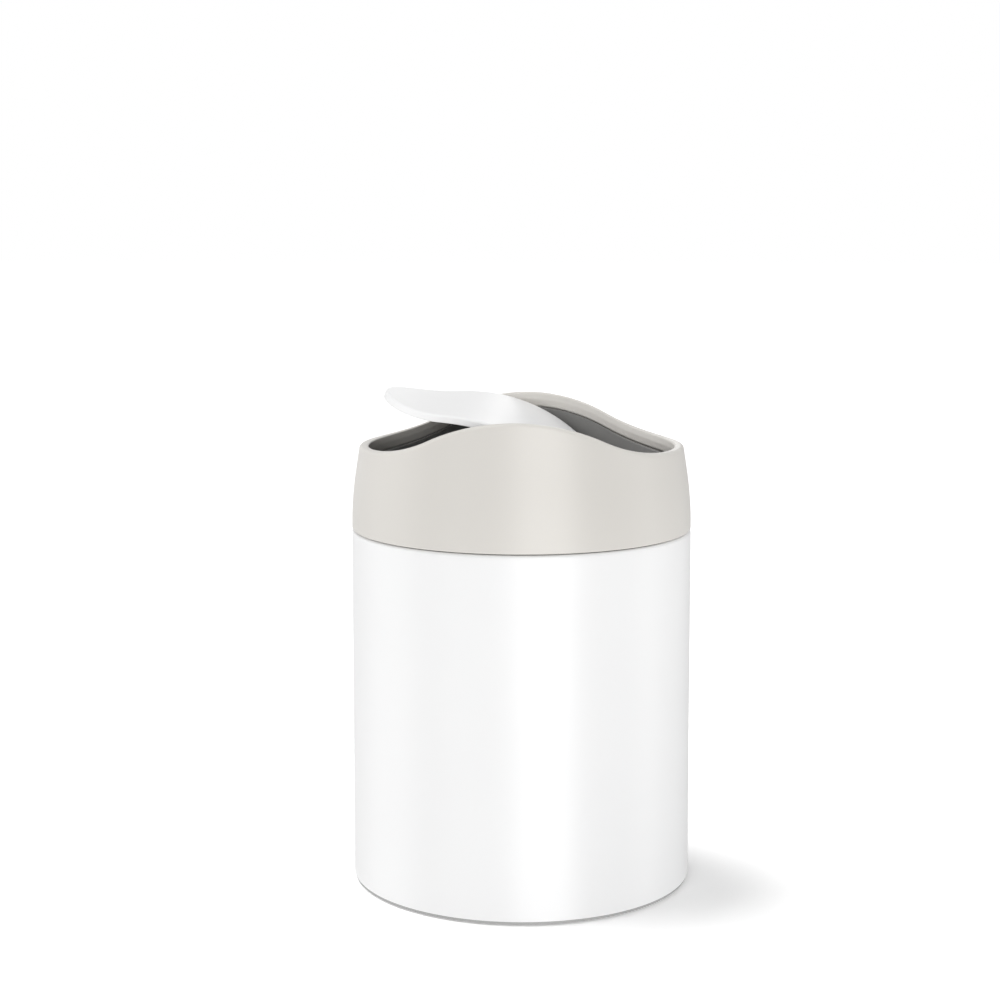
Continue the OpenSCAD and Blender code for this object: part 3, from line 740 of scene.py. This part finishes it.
def baseShapes(b):
    # One section turned once round, and webs that are plates laid between its two walls
    inner, outer, line, upIn, upOut = b["inner"], b["outer"], b["line"], b["upIn"], b["upOut"]
    rimOut = inner + b["wall"]
    section = roundedLoop([[inner, b["low"]], [outer, b["low"]], [outer, line], [upOut, line], [upOut, b["upTop"]],
                           [upIn, b["upTop"]], [upIn, line], [rimOut, line], [rimOut, b["rimTop"]],
                           [inner, b["rimTop"]]], [0.3, 0.35, 0.2, 0.15, 0.3, 0.3, 0.4, 0.4, 0.3, 0.3], 5)
    start, end = inner + b["wall"] / 2, upOut - b["wall"] / 2
    web = move(plate(rectangle(end - start, b["wall"], 0.15), b["webLow"], b["webHigh"], 0.3), x=(start + end) / 2)
    return [spin(section, fullTurn[::2])] + [turnZ(web, (k + 0.5) * 360 / b["webs"]) for k in range(b["webs"])]


# Pan: the pressed steel floor of the tube, with a raised middle and a turned-down edge
pan = dict(radius=59.9, low=2.0, floor=8.0, middle=42.0, rise=1.6, sheet=0.6)


def panShape(p):
    # The underside's section out from the axis, and the upper side's back, one sheet higher
    r, low, floor, middle, rise, sheet = (p[key] for key in ("radius", "low", "floor", "middle", "rise", "sheet"))
    under = [[0, floor + rise], [middle, floor + rise], [middle + rise, floor], [r - sheet, floor], [r - sheet, low]]
    over = [[r, low], [r, floor + sheet], [middle + rise + sheet / 2, floor + sheet],
            [middle + sheet / 2, floor + sheet + rise], [0, floor + sheet + rise]]
    return turned(under + over, [0.1, 0.9, 1.5, 0.25, 0.2, 0.2, 0.8, 1.5, 0.9, 0.1], 256, 6)


# Pads: short rubber rods under the base ring
pads = dict(count=4, at=53.775, radius=3.97, thick=1.3)


def padShapes(p):
    # One rod, set at even turns
    pad = move(rod(p["radius"], 0, p["thick"], 0.45, 0.1, 64, 6), x=p["at"])
    return [turnZ(pad, 45 + k * 360 / p["count"]) for k in range(p["count"])]


addPiece("baseRing", baseShapes(baseRing), "can", "basePlastic", "base_ring")
addPiece("pan", [panShape(pan)], "can", "whitePaint", "bottom_pan")
addPiece("pads", padShapes(pads), "can", "padRubber", "foot_pads")


# Pivot: steel pins, gripped in the tray's hubs, turn in flanged bushes pressed into the towers
pin = dict(radius=1.5, edge=0.3)
bush = dict(radius=3.0, flange=4.1, flangeThick=1.1, endPlay=0.5, play=0.05)


def pinShape(p):
    # A rod from inside the hub to the sleeve's outer face
    return rod(p["radius"], lid["radius"] - tray["pinGrip"], innerRing["outer"], p["edge"], p["edge"], 48)


def bushShape(b):
    # A stepped section turned once round its bore
    start, end = lid["radius"] + b["endPlay"], innerRing["outer"]
    step, bore = start + b["flangeThick"], pin["radius"] + b["play"]
    loop = roundedLoop([[bore, start], [b["flange"], start], [b["flange"], step], [b["radius"], step],
                        [b["radius"], end], [bore, end]], [0.15, 0.25, 0.2, 0.15, 0.2, 0.15], 4, 0.2)
    return spin(loop, turn(96))


for name, side in (("Front", -1), ("Rear", 1)):
    node = name.lower()
    addPiece("pin" + name, [onPivot(pinShape(pin), side)], "lid", "brightSteel", "pin_" + node)
    addPiece("bush" + name, [onPivot(bushShape(bush), side)], "collar", "bushPlastic", "bush_" + node)


# Stage: a white floor that keeps the shadow, a white world and soft boxes, in metres, degrees and watts. Gloss sees
# upright bands round the can instead of the boxes, given by compass turn, and looks through the floor to them.
studio = dict(fill=0.42, side=0.05, bandGain=4.5, steepFrom=0.5, steepTo=0.9, steepLevel=0.2,
              floorHalf=6.0, floorTone=0.71, floorSeen=1.2, farFrom=0.2, farTo=0.6, farFloor=1.2, bounce=1.1, even=0.6,
              bands=[(-180, 0.17), (-122, 0.21), (-112, 0.34), (-80, 0.34), (-70, 0.07), (-54, 0.07), (-46, 0.22),
                     (-8, 0.22), (4, 1.0), (32, 1.0), (44, 0.06), (84, 0.14), (92, 0.37), (101, 0.34), (108, 0.2),
                     (150, 0.14), (177.8, 0.1), (179.2, 0.85), (179.7, 0.85), (180, 0.3)],
              aim=0.09,
              boxes=[dict(name="keyBox", turn=-118, up=76, away=1.3, wide=0.42, tall=0.42, power=7.0),
                     dict(name="frontBox", turn=3, up=10, away=1.5, wide=0.4, tall=0.25, power=4.7),
                     dict(name="leftBox", turn=-78, up=18, away=1.5, wide=0.6, tall=0.6, power=1.8),
                     dict(name="rightBox", turn=84, up=18, away=1.5, wide=0.6, tall=0.6, power=3.2),
                     dict(name="floorBox", turn=-108, up=60, away=1.3, wide=1.6, tall=0.6, power=12.0, floorOnly=True)])


def makeBands(s):
    # Brightness of the surroundings by compass turn, 0 at the front and growing to the right, evened out towards the
    # top and the bottom
    group, given, out = makeGroup("softBands", [("Vector", "Vector", None)], [("Level", "Float")])
    axes = addNode(group, "SeparateXYZ", Vector=given["Vector"]).outputs
    compass = addMath(group, "ARCTAN2", axes[0], addMath(group, "MULTIPLY", axes[1], -1.0))
    share = addMath(group, "MULTIPLY_ADD", compass, 1 / (2 * math.pi), 0.5)
    ramp = addNode(group, "ValToRGB", Fac=share)
    stops = ramp.color_ramp.elements
    for k, (where, level) in enumerate(s["bands"]):
        stop = stops[k] if k < 2 else stops.new(1.0)  # a new ramp has two stops
        stop.position = where / 360 + 0.5
        stop.color = (level, level, level, 1)
    steep = addRange(group, addMath(group, "ABSOLUTE", axes[2]), s["steepFrom"], s["steepTo"])
    level = addMix(group, steep, ramp.outputs[0], s["steepLevel"])
    group.links.new(addMath(group, "MULTIPLY", level, s["bandGain"]), out["Level"])
    return group


def addSeen(tree):
    # Camera and transmission rays see the plain white, gloss sees the bands, and the rest meets the soft light
    seen = addNode(tree, "LightPath").outputs
    return addMath(tree, "MAXIMUM", seen["Is Camera Ray"], seen["Is Transmission Ray"]), seen["Is Glossy Ray"]


def addFloor(s):
    # A square that is matt near the can, where it takes the shadow, and an even white further away
    half = s["floorHalf"] / mm
    corners = np.array([[-half, -half, 0], [half, -half, 0], [half, half, 0], [-half, half, 0]])
    mesh = makeMesh("floor", [(corners, np.array([[0, 1, 2, 3]]))])
    surface = bpy.data.materials.new("whiteFloor")
    surface.use_nodes = True
    tree = surface.node_tree
    tree.nodes.remove(tree.nodes["Principled BSDF"])
    direct, gloss = addSeen(tree)
    where = addNode(tree, "TexCoord").outputs["Object"]
    away = addNode(tree, "VectorMath", operation="LENGTH", i0=where).outputs["Value"]
    far = addRange(tree, away, s["farFrom"], s["farTo"])
    # The camera sees a paler floor and other rays an evener one, so the shadow is short and the can's foot is light
    tone = addMix(tree, direct, s["floorTone"], s["floorSeen"])
    matt = addNode(tree, "BsdfDiffuse", Color=tone).outputs[0]
    far = addMath(tree, "MAXIMUM", far, addMath(tree, "MULTIPLY_ADD", direct, -s["even"], s["even"]))
    level = addMix(tree, direct, s["bounce"], s["farFloor"])
    white = addNode(tree, "Emission", Color=(1, 1, 1, 1), Strength=level).outputs[0]
    lit = addNode(tree, "MixShader", i0=far, i1=matt, i2=white).outputs[0]
    clear = addNode(tree, "BsdfTransparent").outputs[0]
    below = addNode(tree, "NewGeometry").outputs["Backfacing"]  # the floor is clear from below too
    shown = addNode(tree, "MixShader", i0=addMath(tree, "MAXIMUM", gloss, below), i1=lit, i2=clear).outputs[0]
    tree.links.new(shown, tree.nodes["Material Output"].inputs["Surface"])
    mesh.materials.append(surface)
    floor = addObject("floor", mesh)
    return floor


def addWorld(s):
    # The soft light fades a little from left to right
    world = bpy.data.worlds.new("whiteWorld")
    bpy.context.scene.world = world
    world.use_nodes = True
    tree = world.node_tree
    direct, gloss = addSeen(tree)
    where = addNode(tree, "TexCoord").outputs["Generated"]
    right = addNode(tree, "SeparateXYZ", Vector=where).outputs[0]
    soft = addMath(tree, "MULTIPLY_ADD", right, -s["side"], s["fill"])
    bands = addNode(tree, "Group", node_tree=makeBands(s), Vector=where).outputs["Level"]
    level = addMix(tree, direct, addMix(tree, gloss, soft, bands), 1.0)
    sky = tree.nodes["Background"]
    sky.inputs["Color"].default_value = (1, 1, 1, 1)
    tree.links.new(level, sky.inputs["Strength"])


def addBox(b, aim, floor):
    # An area light that faces the can from its compass turn and height angle
    light = bpy.data.lights.new(b["name"], "AREA")
    light.shape = "RECTANGLE"
    light.size, light.size_y, light.energy = b["wide"], b["tall"], b["power"]
    box = addObject(b["name"], light)
    compass, up = math.radians(b["turn"]), math.radians(b["up"])
    toBox = np.array([math.sin(compass) * math.cos(up), -math.cos(compass) * math.cos(up), math.sin(up)])
    box.location = np.array([0, 0, aim]) + b["away"] * toBox
    box.rotation_euler = (math.pi / 2 - up, 0, compass)
    box.visible_camera = False
    box.visible_glossy = False
    if b.get("floorOnly"):  # draws the shadow without lighting the object
        floorOnly = bpy.data.collections.new("floorOnly")
        floorOnly.objects.link(floor)
        box.light_linking.receiver_collection = floorOnly


floor = addFloor(studio)
addWorld(studio)
for box in studio["boxes"]:
    addBox(box, studio["aim"], floor)
print("stage ready")
